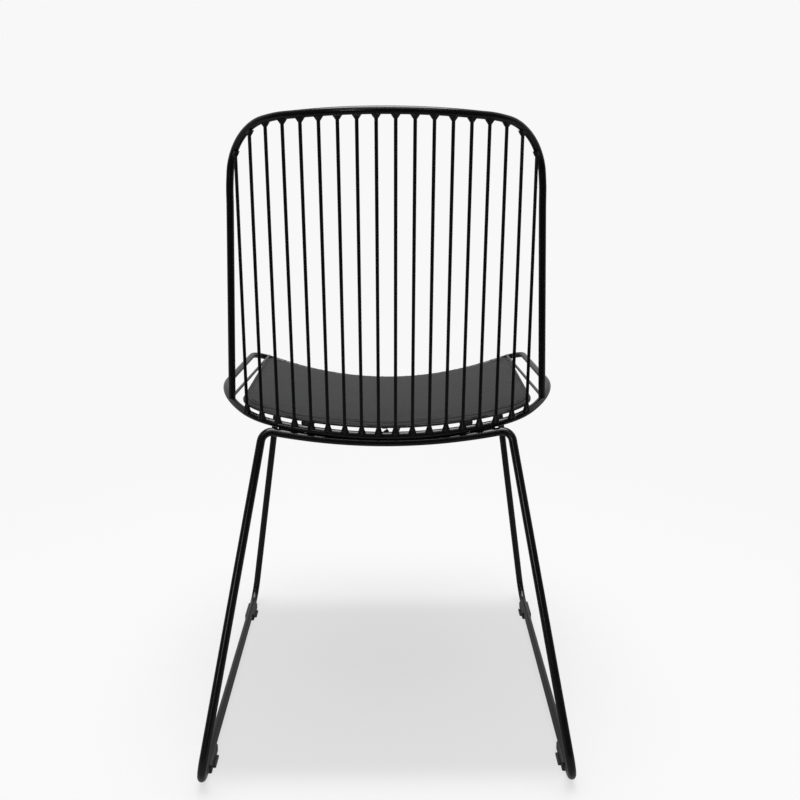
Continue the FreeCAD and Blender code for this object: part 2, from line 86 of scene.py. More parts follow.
class NodeSheet:
    """Adds nodes to a shader tree and joins their sockets."""

    def __init__(self, tree: bpy.types.NodeTree) -> None:
        """Keeps the tree that the nodes go into."""
        self.tree = tree

    def join(self, node: bpy.types.Node, inputs: Inputs) -> None:
        """Gives a node its inputs.

        Args:
            node: The node.
            inputs: Values or sockets for its inputs, by name or number.
        """
        for key, value in inputs.items():
            if isinstance(value, bpy.types.NodeSocket):
                self.tree.links.new(value, node.inputs[key])
            else:
                node.inputs[key].default_value = value

    def add(self, kind: str, inputs: Inputs | None = None, **settings: object) -> bpy.types.Node:
        """Adds one node.

        Args:
            kind: Blender's name of the node type.
            inputs: Values or sockets for its inputs, by name or number.
            settings: Other properties of the node.

        Returns:
            The new node.
        """
        node = self.tree.nodes.new(kind)
        for name, value in settings.items():
            setattr(node, name, value)
        self.join(node, inputs or {})
        return node

    def math(self, operation: str, *values: float | Socket, clamp: bool = False) -> Socket:
        """Adds a Math node over the values and returns its result."""
        node = self.add("ShaderNodeMath", dict(enumerate(values)), operation=operation, use_clamp=clamp)
        return node.outputs[0]

    def ramp(self, value: Socket, low: float, high: float, out_low: float = 0.0,
             out_high: float = 1.0) -> Socket:
        """Carries a value smoothly from one range to another.

        Args:
            value: The value to carry over.
            low: Where the result starts to move.
            high: Where it stops.
            out_low: The result up to low.
            out_high: The result from high on.

        Returns:
            The socket with the result.
        """
        inputs = {"Value": value, "From Min": low, "From Max": high, "To Min": out_low, "To Max": out_high}
        return self.add("ShaderNodeMapRange", inputs, interpolation_type="SMOOTHSTEP").outputs["Result"]

    def scale(self, vector: object, by: float | Socket) -> Socket:
        """Multiplies a vector or a colour by a value."""
        return self.add("ShaderNodeVectorMath", {0: vector, "Scale": by}, operation="SCALE").outputs[0]

    def noise(self, place: Socket, per_metre: float | Socket, detail: float,
              roughness: float = 0.5) -> bpy.types.Node:
        """Adds a noise texture at the place and returns its node."""
        return self.add("ShaderNodeTexNoise", {"Vector": place, "Scale": per_metre, "Detail": detail,
                                               "Roughness": roughness})

    def mix_colour(self, share: Socket, first: object, second: object) -> Socket:
        """Adds a mix of two colours and returns its result."""
        node = self.add("ShaderNodeMix", data_type="RGBA")
        sockets = [node.inputs[0], *(socket for socket in node.inputs if socket.type == "RGBA")]
        for socket, value in zip(sockets, (share, first, second)):
            if isinstance(value, bpy.types.NodeSocket):
                self.tree.links.new(value, socket)
            else:
                socket.default_value = value
        return next(socket for socket in node.outputs if socket.type == "RGBA")

    def group(self, tree: bpy.types.NodeTree, inputs: Inputs) -> bpy.types.Node:
        """Places a node group with its own values and returns its node."""
        return self.add("ShaderNodeGroup", inputs, node_tree=tree)


class Effects:
    """The shader node groups that more than one finish uses, each built once."""

    cloud_detail = 5.0
    cloud_roughness = 0.6
    cloud_swing = 4.0
    finer_grain = 3.1
    wander_per_metre = 140.0
    crossing_height = 0.35
    # painted shade between the threads of the weave
    thread_shade = (0.4, 1.2, 0.6, 1.0)
    scuffs_per_metre = 420.0
    scuff_detail = 6.0
    scuff_roughness = 0.7
    scuff_patches = (0.42, 0.62)

    def __init__(self) -> None:
        """Builds the groups."""
        self.mottle = self.make_mottle()
        self.grain = self.make_grain()
        self.weave = self.make_weave()
        self.floor_scuffs = self.make_floor_scuffs()

    def start(self, name: str, inputs: dict[str, object],
              outputs: Sequence[str]) -> tuple[NodeSheet, dict[str, Socket], bpy.types.Node]:
        """Starts a group with named sockets, after a first one for the coordinates.

        Args:
            name: The group's name.
            inputs: First value of each input, a number or a colour.
            outputs: Name of each output. The one named Colour is a colour, the others are numbers.

        Returns:
            The sheet to build on, the inputs by name and the output node.
        """
        tree = bpy.data.node_groups.new(name, "ShaderNodeTree")
        tree.interface.new_socket(name="Vector", in_out="INPUT", socket_type="NodeSocketVector")
        for socket, value in inputs.items():
            kind = "NodeSocketFloat" if isinstance(value, float) else "NodeSocketColor"
            tree.interface.new_socket(name=socket, in_out="INPUT", socket_type=kind).default_value = value
        for socket in outputs:
            kind = "NodeSocketColor" if socket == "Colour" else "NodeSocketFloat"
            tree.interface.new_socket(name=socket, in_out="OUTPUT", socket_type=kind)
        sheet = NodeSheet(tree)
        entry = sheet.add("NodeGroupInput")
        return sheet, {s.name: s for s in entry.outputs if s.name}, sheet.add("NodeGroupOutput")

    def make_mottle(self) -> bpy.types.NodeTree:
        """Slow variation of colour and roughness, as handling and moulding leave it."""
        inputs = {"Colour": (0.8, 0.8, 0.8, 1.0), "Colour Spread": 0.1, "Roughness": 0.4,
                  "Roughness Spread": 0.05, "Patches Per Metre": 20.0}
        sheet, given, out = self.start("mottle", inputs, ("Colour", "Roughness"))
        noise = sheet.noise(given["Vector"], given["Patches Per Metre"], self.cloud_detail,
                            self.cloud_roughness)
        swing = sheet.math("MULTIPLY_ADD", noise.outputs["Fac"], self.cloud_swing, -0.5 * self.cloud_swing)
        level = sheet.math("MULTIPLY_ADD", swing, given["Colour Spread"], 1.0)
        rough = sheet.math("MULTIPLY_ADD", swing, given["Roughness Spread"], given["Roughness"], clamp=True)
        sheet.join(out, {"Colour": sheet.scale(given["Colour"], level), "Roughness": rough})
        return sheet.tree

    def make_grain(self) -> bpy.types.NodeTree:
        """Fine uneven relief: orange peel in a coat, spark texture in a moulding."""
        sheet, given, out = self.start("grain", {"Grains Per Metre": 800.0, "Softness": 0.5}, ("Height",))
        broad = sheet.noise(given["Vector"], given["Grains Per Metre"], 1.0)
        finer = sheet.math("MULTIPLY", given["Grains Per Metre"], self.finer_grain)
        fine = sheet.noise(given["Vector"], finer, 2.0)
        small = sheet.math("MULTIPLY", fine.outputs["Fac"], sheet.math("SUBTRACT", 1.0, given["Softness"]))
        height = sheet.math("MULTIPLY_ADD", broad.outputs["Fac"], given["Softness"], small)
        sheet.join(out, {"Height": height})
        return sheet.tree

    def make_weave(self) -> bpy.types.NodeTree:
        """Plain weave of two sets of threads that cross, with a Shade output that is painted shade: darker
        where the relief is low.
        """
        inputs = {"Threads Per Metre": 1200.0, "Looseness": 0.15}
        sheet, given, out = self.start("weave", inputs, ("Height", "Shade"))
        wander = sheet.noise(given["Vector"], self.wander_per_metre, 2.0)
        off = sheet.math("MULTIPLY", wander.outputs["Fac"], given["Looseness"])
        threads = sheet.scale(given["Vector"], given["Threads Per Metre"])
        parts = sheet.add("ShaderNodeSeparateXYZ", {0: threads})
        along = sheet.math("ADD", parts.outputs["X"], off)
        across = sheet.math("ADD", sheet.math("ADD", parts.outputs["Y"], parts.outputs["Z"]), off)
        warp = sheet.math("SINE", sheet.math("MULTIPLY", along, math.pi))
        weft = sheet.math("SINE", sheet.math("MULTIPLY", across, math.pi))
        ridge = sheet.math("MAXIMUM", sheet.math("ABSOLUTE", warp), sheet.math("ABSOLUTE", weft))
        height = sheet.math("MULTIPLY_ADD", sheet.math("MULTIPLY", warp, weft), self.crossing_height, ridge)
        # Shade is painted shade, darker where the weave's relief is low
        sheet.join(out, {"Height": height, "Shade": sheet.ramp(height, *self.thread_shade)})
        return sheet.tree

    def make_floor_scuffs(self) -> bpy.types.NodeTree:
        """Mask of the dull scuffs that a piece gets where it slides over the floor."""
        sheet, given, out = self.start("floor_scuffs", {"Reach": 0.004}, ("Mask",))
        parts = sheet.add("ShaderNodeSeparateXYZ", {0: given["Vector"]})
        share = sheet.math("DIVIDE", parts.outputs["Z"], given["Reach"])
        near = sheet.math("SUBTRACT", 1.0, share, clamp=True)
        noise = sheet.noise(given["Vector"], self.scuffs_per_metre, self.scuff_detail, self.scuff_roughness)
        patches = sheet.ramp(noise.outputs["Fac"], *self.scuff_patches)
        sheet.join(out, {"Mask": sheet.math("MULTIPLY", near, patches)})
        return sheet.tree


def opaque(colour: Colour) -> tuple[float, float, float, float]:
    """Gives a colour its full alpha."""
    return (*colour, 1.0)


def lay_relief(sheet: NodeSheet, shader: bpy.types.Node, height: Socket, depth: float,
               under: Socket | None = None) -> Socket:
    """Adds a Bump node under the shader's normal.

    Args:
        sheet: The material's sheet.
        shader: The Principled node.
        height: The relief, from 0 to 1.
        depth: How far the relief stands out, in metres.
        under: The normal of a coarser relief below this one.

    Returns:
        The bumped normal.
    """
    inputs: Inputs = {"Height": height, "Strength": 1.0, "Distance": depth}
    if under is not None:
        inputs["Normal"] = under
    normal = sheet.add("ShaderNodeBump", inputs).outputs["Normal"]
    sheet.join(shader, {"Normal": normal})
    return normal


@dataclass(frozen=True)
class Finish:
    """What every finish has: a colour and a roughness that wander slowly over the surface."""

    name: str
    colour: Colour
    roughness: float
    colour_spread: float
    roughness_spread: float
    patches_per_metre: float

    def begin(self, effects: Effects) -> tuple[bpy.types.Material, NodeSheet, bpy.types.Node, Socket,
                                               bpy.types.Node]:
        """Starts the material with a Principled shader.

        Args:
            effects: The node groups.

        Returns:
            The material, its sheet, the Principled node, the object's own coordinates and the placed mottle.
        """
        material = bpy.data.materials.new(self.name)
        material.use_nodes = True
        sheet = NodeSheet(material.node_tree)
        shader = next(n for n in material.node_tree.nodes if n.type == "BSDF_PRINCIPLED")
        place = sheet.add("ShaderNodeTexCoord").outputs["Object"]
        mottle = sheet.group(effects.mottle, {
            "Vector": place, "Colour": opaque(self.colour), "Colour Spread": self.colour_spread,
            "Roughness": self.roughness, "Roughness Spread": self.roughness_spread,
            "Patches Per Metre": self.patches_per_metre})
        sheet.join(shader, {"Base Color": mottle.outputs["Colour"], "Roughness": mottle.outputs["Roughness"]})
        return material, sheet, shader, place, mottle


@dataclass(frozen=True)
class ScuffedFinish(Finish):
    """Gloss finish with fine grain, dulled where it slides on the floor."""

    scuffed: Colour
    scuff_reach: float
    scuff_roughness: float
    grains_per_metre: float
    grain_softness: float
    grain_depth: float
    ior: float = 1.42
    ripple_per_metre: float = 0.0
    ripple_depth: float = 0.0
    ripple_distortion: float = 6.0
    ripple_detail: float = 2.0
    ripple_detail_scale: float = 1.5

    def make(self, effects: Effects) -> bpy.types.Material:
        """Builds the material."""
        material, sheet, shader, place, mottle = self.begin(effects)
        mask = sheet.group(effects.floor_scuffs, {"Vector": place, "Reach": self.scuff_reach}).outputs["Mask"]
        colour = sheet.mix_colour(mask, mottle.outputs["Colour"], opaque(self.scuffed))
        rough = sheet.math("MULTIPLY_ADD", mask, self.scuff_roughness, mottle.outputs["Roughness"])
        under = None
        if self.ripple_depth > 0.0:
            rings = sheet.add("ShaderNodeTexWave", {
                "Vector": place, "Scale": self.ripple_per_metre, "Distortion": self.ripple_distortion,
                "Detail": self.ripple_detail, "Detail Scale": self.ripple_detail_scale},
                wave_type="BANDS", bands_direction="DIAGONAL")
            under = lay_relief(sheet, shader, rings.outputs["Fac"], self.ripple_depth)
        grain = sheet.group(effects.grain, {"Vector": place, "Grains Per Metre": self.grains_per_metre,
                                            "Softness": self.grain_softness})
        lay_relief(sheet, shader, grain.outputs["Height"], self.grain_depth, under)
        sheet.join(shader, {"Base Color": colour, "Roughness": rough, "IOR": self.ior})
        return material


@dataclass(frozen=True)
class CoatFinish(ScuffedFinish):
    """Gloss black powder coat on the rods and wires, with a faint orange peel."""

    name: str = "black_powder_coat"
    colour: Colour = (0.0026, 0.0026, 0.0028)
    roughness: float = 0.20
    colour_spread: float = 0.2
    roughness_spread: float = 0.03
    patches_per_metre: float = 34.0
    scuffed: Colour = (0.030, 0.029, 0.028)
    scuff_reach: float = 0.006
    scuff_roughness: float = 0.3
    grains_per_metre: float = 300.0
    grain_softness: float = 0.85
    grain_depth: float = 0.000005


@dataclass(frozen=True)
class PlasticFinish(ScuffedFinish):
    """Moulded black plastic of the glides, with spark texture."""

    name: str = "glide_plastic"
    colour: Colour = (0.014, 0.014, 0.0145)
    roughness: float = 0.46
    colour_spread: float = 0.15
    roughness_spread: float = 0.05
    patches_per_metre: float = 90.0
    scuffed: Colour = (0.085, 0.082, 0.078)
    scuff_reach: float = 0.0025
    scuff_roughness: float = 0.25
    grains_per_metre: float = 2200.0
    grain_softness: float = 0.5
    grain_depth: float = 0.00004


@dataclass(frozen=True)
class LeatherFinish(Finish):
    """Matt charcoal leather: pebbled grain, fine pores and slow clouding, with painted shade that darkens the
    gaps between the pebbles.
    """

    name: str = "pad_leather"
    colour: Colour = (0.0230, 0.0231, 0.0236)
    roughness: float = 0.56
    colour_spread: float = 0.05
    roughness_spread: float = 0.05
    patches_per_metre: float = 14.0
    # painted shade: colour of the gaps between the pebbles
    painted_crease_shade: Colour = (0.0150, 0.0150, 0.0153)
    painted_crease_share: float = 0.4
    bends_per_metre: float = 260.0
    bend_reach: float = 0.0012
    pebbles_per_metre: float = 560.0
    pebble_edge: float = 0.22
    pebble_depth: float = 0.00012
    pores_per_metre: float = 2600.0
    pore_softness: float = 0.4
    pore_depth: float = 0.00003
    ior: float = 1.18

    def make(self, effects: Effects) -> bpy.types.Material:
        """Builds the material."""
        material, sheet, shader, place, mottle = self.begin(effects)
        bend = sheet.noise(place, self.bends_per_metre, 2.0)
        push = sheet.scale(bend.outputs["Color"], self.bend_reach)
        bent = sheet.add("ShaderNodeVectorMath", {0: place, 1: push}, operation="ADD").outputs[0]
        cells = sheet.add("ShaderNodeTexVoronoi", {"Vector": bent, "Scale": self.pebbles_per_metre},
                          feature="DISTANCE_TO_EDGE")
        pebble = sheet.ramp(cells.outputs["Distance"], 0.0, self.pebble_edge)
        # painted shade in the gaps between the pebbles, where the bump already shades
        painted_gap_shade = sheet.math("MULTIPLY", sheet.math("SUBTRACT", 1.0, pebble), self.painted_crease_share)
        pores = sheet.group(effects.grain, {"Vector": place, "Grains Per Metre": self.pores_per_metre,
                                            "Softness": self.pore_softness})
        coarse = lay_relief(sheet, shader, pebble, self.pebble_depth)
        lay_relief(sheet, shader, pores.outputs["Height"], self.pore_depth, coarse)
        # painted shade mixed into the leather's colour
        colour = sheet.mix_colour(painted_gap_shade, mottle.outputs["Colour"], opaque(self.painted_crease_shade))
        sheet.join(shader, {"Base Color": colour, "IOR": self.ior})
        return material


@dataclass(frozen=True)
class WovenFinish(Finish):
    """Dark woven cloth: the pad's underside, the straps, the zip's tape and the sewing thread."""

    roughness: float = 0.8
    colour_spread: float = 0.1
    roughness_spread: float = 0.04
    patches_per_metre: float = 60.0
    threads_per_metre: float = 1300.0
    thread_depth: float = 0.00022
    looseness: float = 0.5
    sheen: float = 0.15

    def make(self, effects: Effects) -> bpy.types.Material:
        """Builds the material."""
        material, sheet, shader, place, mottle = self.begin(effects)
        weave = sheet.group(effects.weave, {"Vector": place, "Threads Per Metre": self.threads_per_metre,
                                            "Looseness": self.looseness})
        lay_relief(sheet, shader, weave.outputs["Height"], self.thread_depth)
        # painted shade from the weave darkens the colour between the threads
        shaded = sheet.scale(mottle.outputs["Colour"], weave.outputs["Shade"])
        sheet.join(shader, {"Base Color": shaded, "Sheen Weight": self.sheen})
        return material


@dataclass(frozen=True)
class MetalFinish(Finish):
    """Blackened zip metal, rubbed a little brighter in patches."""

    name: str = "zip_metal"
    colour: Colour = (0.045, 0.045, 0.047)
    roughness: float = 0.38
    colour_spread: float = 0.2
    roughness_spread: float = 0.08
    patches_per_metre: float = 300.0
    rubbed: Colour = (0.20, 0.20, 0.21)
    rubs_per_metre: float = 700.0
    rub_patches: tuple[float, ...] = (0.58, 0.7, 0.0, 0.5)
    grains_per_metre: float = 1800.0
    grain_softness: float = 0.6
    grain_depth: float = 0.00002
    metallic: float = 0.9

    def make(self, effects: Effects) -> bpy.types.Material:
        """Builds the material."""
        material, sheet, shader, place, mottle = self.begin(effects)
        rub = sheet.noise(place, self.rubs_per_metre, 4.0)
        worn = sheet.ramp(rub.outputs["Fac"], *self.rub_patches)
        grain = sheet.group(effects.grain, {"Vector": place, "Grains Per Metre": self.grains_per_metre,
                                            "Softness": self.grain_softness})
        lay_relief(sheet, shader, grain.outputs["Height"], self.grain_depth)
        colour = sheet.mix_colour(worn, mottle.outputs["Colour"], opaque(self.rubbed))
        sheet.join(shader, {"Base Color": colour, "Metallic": self.metallic})
        return material


class Workshop:
    """Makes each finish once and hands it out by name."""

    def __init__(self) -> None:
        """Builds every finish."""
        effects = Effects()
        finishes = [
            CoatFinish(),
            CoatFinish(name="coated_weld", roughness=0.28, grain_depth=0.00001, ripple_per_metre=260.0,
                       ripple_depth=0.00016),
            PlasticFinish(),
            LeatherFinish(),
            WovenFinish("pad_backing", (0.020, 0.020, 0.021), threads_per_metre=900.0, thread_depth=0.00018),
            WovenFinish("webbing", (0.014, 0.014, 0.015)),
            WovenFinish("zip_tape", (0.012, 0.012, 0.013), threads_per_metre=1800.0, thread_depth=0.00012),
            WovenFinish("sewing_thread", (0.012, 0.012, 0.0125), roughness=0.65, threads_per_metre=3200.0,
                        thread_depth=0.00006),
            MetalFinish(),
        ]
        self.materials = {finish.name: finish.make(effects) for finish in finishes}

    def paint(self, piece: bpy.types.Object, finish: str) -> None:
        """Gives a piece one finish all over."""
        piece.data.materials.clear()
        piece.data.materials.append(self.materials[finish])


def new_piece(name: str, mesh: bpy.types.Mesh) -> bpy.types.Object:
    """Links a mesh as a piece that rides on the chair's one body.

    Args:
        name: The piece's name.
        mesh: Its mesh, in the chair's frame.

    Returns:
        The new object.
    """
    piece = bpy.data.objects.new(name, mesh)
    bpy.context.scene.collection.objects.link(piece)
    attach(piece, BODY)
    return piece


def smooth_mesh(name: str, points: Sequence[Vector], faces: Sequence[Sequence[int]]) -> bpy.types.Mesh:
    """Makes a smooth-shaded mesh with its faces turned outward.

    Args:
        name: The mesh's name.
        points: Its corners.
        faces: Its faces, as numbers of corners.

    Returns:
        The mesh.
    """
    mesh = bpy.data.meshes.new(name)
    mesh.from_pydata([tuple(point) for point in points], [], faces)
    built = bmesh.new()
    built.from_mesh(mesh)
    bmesh.ops.recalc_face_normals(built, faces=built.faces)
    built.to_mesh(mesh)
    built.free()
    mesh.shade_smooth()
    return mesh


def loft_faces(rows: int, size: int, start: int = 0, capped: bool = True) -> list[list[int]]:
    """Faces between rows of points that each go once round.

    Args:
        rows: Number of steps from the first row to the last.
        size: Points in a row.
        start: Number of the first point.
        capped: Whether the two ends are closed by one face each.

    Returns:
        The faces.
    """
    faces = []
    for row in range(rows):
        first = start + row * size
        for number in range(size):
            after = (number + 1) % size
            faces.append([first + number, first + after, first + size + after, first + size + number])
    if capped:
        last = start + rows * size
        faces.append([start + number for number in reversed(range(size))])
        faces.append([last + number for number in range(size)])
    return faces


def grid_cells(steps: int) -> list[list[tuple[int, int]]]:
    """Corners of each cell of a square grid that goes from -steps to steps both ways."""
    span = range(-steps, steps)
    return [[(i, j), (i + 1, j), (i + 1, j + 1), (i, j + 1)] for i in span for j in span]


@dataclass(frozen=True)
class SeatSurface:
    """The dished surface on which the seat wires and the pad lie."""

    rear: float
    front: float
    front_height: float
    rear_rise: float = 0.0055
    dish_rear: float = 0.036
    dish_front: float = 0.0487
    dish_half_width: float = 0.236
    wire_radius: float = 0.00215
    wire_rear_lift: float = 0.0070
    wire_front_lift: float = 0.0035
    level_run: float = 0.040
    pad_gap: float = 0.00015

    @classmethod
    def from_frame(cls, rod: float = 0.0095) -> SeatSurface:
        """Reads the seat ring's place from the frame, for a ring of this rod."""
        low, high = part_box("seat_ring")
        return cls(rear=high.y - 0.5 * rod, front=low.y + 0.5 * rod, front_height=low.z + 0.5 * rod)

    def bend(self, y: float) -> float:
        """How steeply the dish rises with the square of the distance from its middle."""
        share = (self.rear - y) / (self.rear - self.front)
        return (self.dish_rear + (self.dish_front - self.dish_rear) * share) / self.dish_half_width ** 2

    def slope(self, x: float, y: float) -> float:
        """Sideways slope of the dish."""
        return 2.0 * self.bend(y) * x

    def height(self, x: float, y: float, over_wires: float) -> float:
        """Height above the floor.

        Args:
            x: Place across the seat.
            y: Place along the seat.
            over_wires: Height over the top of the seat wires, square to the dish.

        Returns:
            The height in metres.
        """
        share = (y - self.front) / (self.rear - self.front)
        ring = self.front_height + self.rear_rise * share + self.bend(y) * x * x
        fall = max(0.0, self.rear - y - self.level_run) / (self.rear - self.front - self.level_run)
        wires = self.wire_rear_lift + (self.wire_front_lift - self.wire_rear_lift) * fall
        return ring + (wires + self.wire_radius + over_wires) * math.hypot(1.0, self.slope(x, y))

    def over_pad_floor(self, x: float, y: float, lift: float = 0.0) -> Vector:
        """Point over the pad's floor.

        Args:
            x: Place across the seat.
            y: Place along the seat.
            lift: Height over the floor of the pad, square to the dish.

        Returns:
            The point.
        """
        return Vector((x, y, self.height(x, y, self.pad_gap + lift)))


@dataclass(frozen=True)
class PadOutline:
    """Plan of the pad: flared sides, rounded corners, a bowed rear and a front drawn in at its middle."""

    rear: float
    front: float
    half_width: float = 0.195
    front_half: float = 0.211
    rear_margin: float = 0.001
    rear_corner: float = 0.040
    front_corner: float = 0.022
    bow_radius: float = 1.0
    front_draw: float = 0.0025
    least_corner: float = 0.004
    side_steps: int = 360

    @classmethod
    def from_frame(cls) -> PadOutline:
        """Reads the pad's length from its solid."""
        low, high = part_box("pad_cover")
        return cls(rear=high.y, front=low.y)

    def flare(self, y: float) -> float:
        """How much wider the pad is at this place than at the middle of the ring's rear."""
        ring = self.rear + self.rear_margin
        return 1.0 + (self.front_half / self.half_width - 1.0) * (ring - y) / (ring - self.front)

    def run(self, share: float, half: float, corner: float) -> tuple[float, float]:
        """Follows one side from its middle to the middle of its corner.

        Args:
            share: How far along, from 0 to 1.
            half: Distance from the side's middle to the side that it meets.
            corner: Radius of the corner.

        Returns:
            The distance along the side, and how far the corner draws it in.
        """
        straight = half - corner
        reach = share * (straight + 0.25 * math.pi * corner)
        if reach <= straight:
            return reach, 0.0
        turn = (reach - straight) / corner
        return straight + corner * math.sin(turn), corner * (1.0 - math.cos(turn))

    def place(self, across: float, along: float, inset: float) -> tuple[float, float]:
        """Point of the outline, drawn in by an inset, for a point of the unit square's edge.

        Args:
            across: From -1 at the sitter's right to 1 at the left.
            along: From -1 at the front to 1 at the rear.
            inset: How far inside the pad's edge, in metres.

        Returns:
            The point's x and y.
        """
        middle = 0.5 * (self.rear + self.front)
        half_length = 0.5 * (self.rear - self.front) - inset
        half_width = self.half_width - inset
        corner = max(self.least_corner, (self.rear_corner if along > 0.0 else self.front_corner) - inset)
        if abs(along) >= abs(across):
            reach, drop = self.run(abs(across), half_width, corner)
            x = math.copysign(reach, across)
            y = math.copysign(half_length - drop, along)
        else:
            reach, drop = self.run(abs(along), half_length, corner)
            x = math.copysign(half_width - drop, across)
            y = math.copysign(reach, along)
        to_rear = 0.5 + 0.5 * y / half_length
        bow = self.bow_radius - math.sqrt(self.bow_radius ** 2 - x * x)
        draw = self.front_draw * (1.0 - (x / self.half_width) ** 2)
        y += middle - bow * to_rear + draw * (1.0 - to_rear)
        return x * self.flare(y), y

    def walk(self, inset: float, pitch: float) -> list[tuple[float, float]]:
        """Points at an even pitch all the way round the outline.

        Args:
            inset: How far inside the pad's edge.
            pitch: Distance between two points.

        Returns:
            The points' x and y.
        """
        fine = []
        for side in range(4):
            for step in range(self.side_steps):
                share = -1.0 + 2.0 * step / self.side_steps
                corners = [(share, 1.0), (1.0, -share), (-share, -1.0), (-1.0, share)]
                fine.append(Vector(self.place(*corners[side], inset)))
        fine.append(fine[0])
        total = sum((b - a).length for a, b in zip(fine, fine[1:]))
        count = round(total / pitch)
        points, wanted, passed = [], 0.0, 0.0
        for a, b in zip(fine, fine[1:]):
            length = (b - a).length
            while wanted < passed + length and len(points) < count:
                point = a.lerp(b, (wanted - passed) / length)
                points.append((point.x, point.y))
                wanted += total / count
            passed += length
        return points


@dataclass
class SeatPad:
    """Thin cushion sewn from leather over foam, with two rows of stitches inside its edge."""

    seat: SeatSurface
    outline: PadOutline
    workshop: Workshop
    underside: float = 0.0010
    cloth_inset: float = 0.0001
    cloth_thickness: float = 0.0007
    cloth_edge: float = 0.0036
    cloth_steps: int = 24
    nose_height: float = 0.0036
    crown: float = 0.0080
    full_height: float = 0.0098
    margin: tuple[tuple[float, float], ...] = (
        (0.0008, 0.0050), (0.0018, 0.0060), (0.0032, 0.0065), (0.0044, 0.0063), (0.0052, 0.0046),
        (0.0060, 0.0066), (0.0072, 0.0081), (0.0084, 0.0083), (0.0093, 0.0066), (0.0102, 0.0086),
        (0.0130, 0.0094), (0.0175, 0.0097), (0.0235, 0.0098))
    hem: tuple[tuple[float, float], ...] = ((0.0006, 0.0024), (0.0018, 0.0012), (0.0052, 0.0010))
    seams: tuple[float, float] = (0.0052, 0.0093)
    inner_rings: int = 25
    swell: float = 0.0022
    swell_margin: float = 0.0009
    swell_reach: float = 0.03
    pressure: float = 4.0
    tension: float = 12.0
    compression: float = 8.0
    bending: float = 0.3
    loosening: float = 0.025
    cloth_quality: int = 6
    settle_frames: int = 20
    filling: float = 0.75
    stitch_pitch: float = 0.0038
    stitch_length: float = 0.0031
    thread: float = 0.00070
    thread_rise: float = 0.1
    pinned: list[int] = field(default_factory=list)

    def lift(self, x: float, y: float, low: float, inset: float) -> float:
        """Height of the top over the pad's floor.

        Args:
            x: Place across.
            y: Place along.
            low: Height that the margin's profile gives.
            inset: Distance inside the edge.

        Returns:
            The height in metres.
        """
        middle = 0.5 * (self.outline.rear + self.outline.front)
        half = 0.5 * (self.outline.rear - self.outline.front)
        rise = 1.0 - ((y - middle) / half) ** 2
        across = 1.0 - (x / (self.outline.half_width * self.outline.flare(y))) ** 4
        share = min(1.0, inset / self.margin[-1][0])
        slack = self.swell * min(1.0, max(0.0, inset - self.seams[1]) / self.seams[1])
        return low + self.crown * max(0.0, rise) * max(0.0, across) * share - slack

    def ring_profiles(self) -> list[tuple[float, float]]:
        """Inset and margin height of each ring of the top, from the edge to the middle."""
        return list(self.margin) + [(self.margin[-1][0], self.full_height)] * self.inner_rings

    def build_cushion(self) -> bpy.types.Mesh:
        """Lays out the cushion's closed form as a square grid bent to the outline, top and bottom."""
        count = len(self.margin) + self.inner_rings
        points: list[Vector] = []
        numbers: dict[tuple[int, int, int], int] = {}
        for layer in (1, -1):
            for i in range(-count, count + 1):
                for j in range(-count, count + 1):
                    ring = max(abs(i), abs(j))
                    if layer < 0 and ring == count:
                        numbers[(layer, i, j)] = numbers[(1, i, j)]
                        continue
                    numbers[(layer, i, j)] = len(points)
                    points.append(self.grid_point(i, j, ring, count, layer))
                    if self.is_pinned(count - ring, layer):
                        self.pinned.append(len(points) - 1)
        faces = []
        for layer in (1, -1):
            faces += [[numbers[(layer, *corner)] for corner in cell[::layer]] for cell in grid_cells(count)]
        return smooth_mesh("pad_cushion", points, faces)

    def is_pinned(self, steps_in: int, layer: int) -> bool:
        """Tells whether a ring is held: the seams' rows on top, and the underside within its hem."""
        if layer < 0:
            return steps_in >= 2
        return 0 < steps_in <= len(self.margin) and self.margin[steps_in - 1][0] in self.seams

    def grid_point(self, i: int, j: int, ring: int, count: int, layer: int) -> Vector:
        """Place of one point of the grid.

        Args:
            i: Column, from -count to count.
            j: Row, from -count to count.
            ring: The square ring that the point is on.
            count: Number of rings.
            layer: 1 for the top, -1 for the underside.

        Returns:
            The point.
        """
        steps_in = count - ring
        profile = self.margin if layer > 0 else self.hem
        inset, low = (0.0, self.nose_height) if steps_in == 0 else profile[min(steps_in, len(profile)) - 1]
        edge_steps = len(self.margin)
        if layer < 0 and steps_in > len(self.hem):
            spread = (min(steps_in, edge_steps) - len(self.hem)) / (edge_steps - len(self.hem))
            inset += (self.margin[-1][0] - inset) * spread
        if ring == 0:
            x, y = self.outline.place(1.0, 0.0, inset)
            x = 0.0
        else:
            x, y = self.outline.place(i / ring, j / ring, inset)
        if steps_in > edge_steps:
            share = ring / (count - edge_steps)
            middle = 0.5 * (self.outline.rear + self.outline.front)
            x, y = x * share, middle + (y - middle) * share
        if layer < 0:
            lift = low if steps_in <= len(self.hem) else self.underside
        else:
            lift = self.lift(x, y, low, inset if steps_in <= edge_steps else 1.0)
        return self.seat.over_pad_floor(x, y, lift)

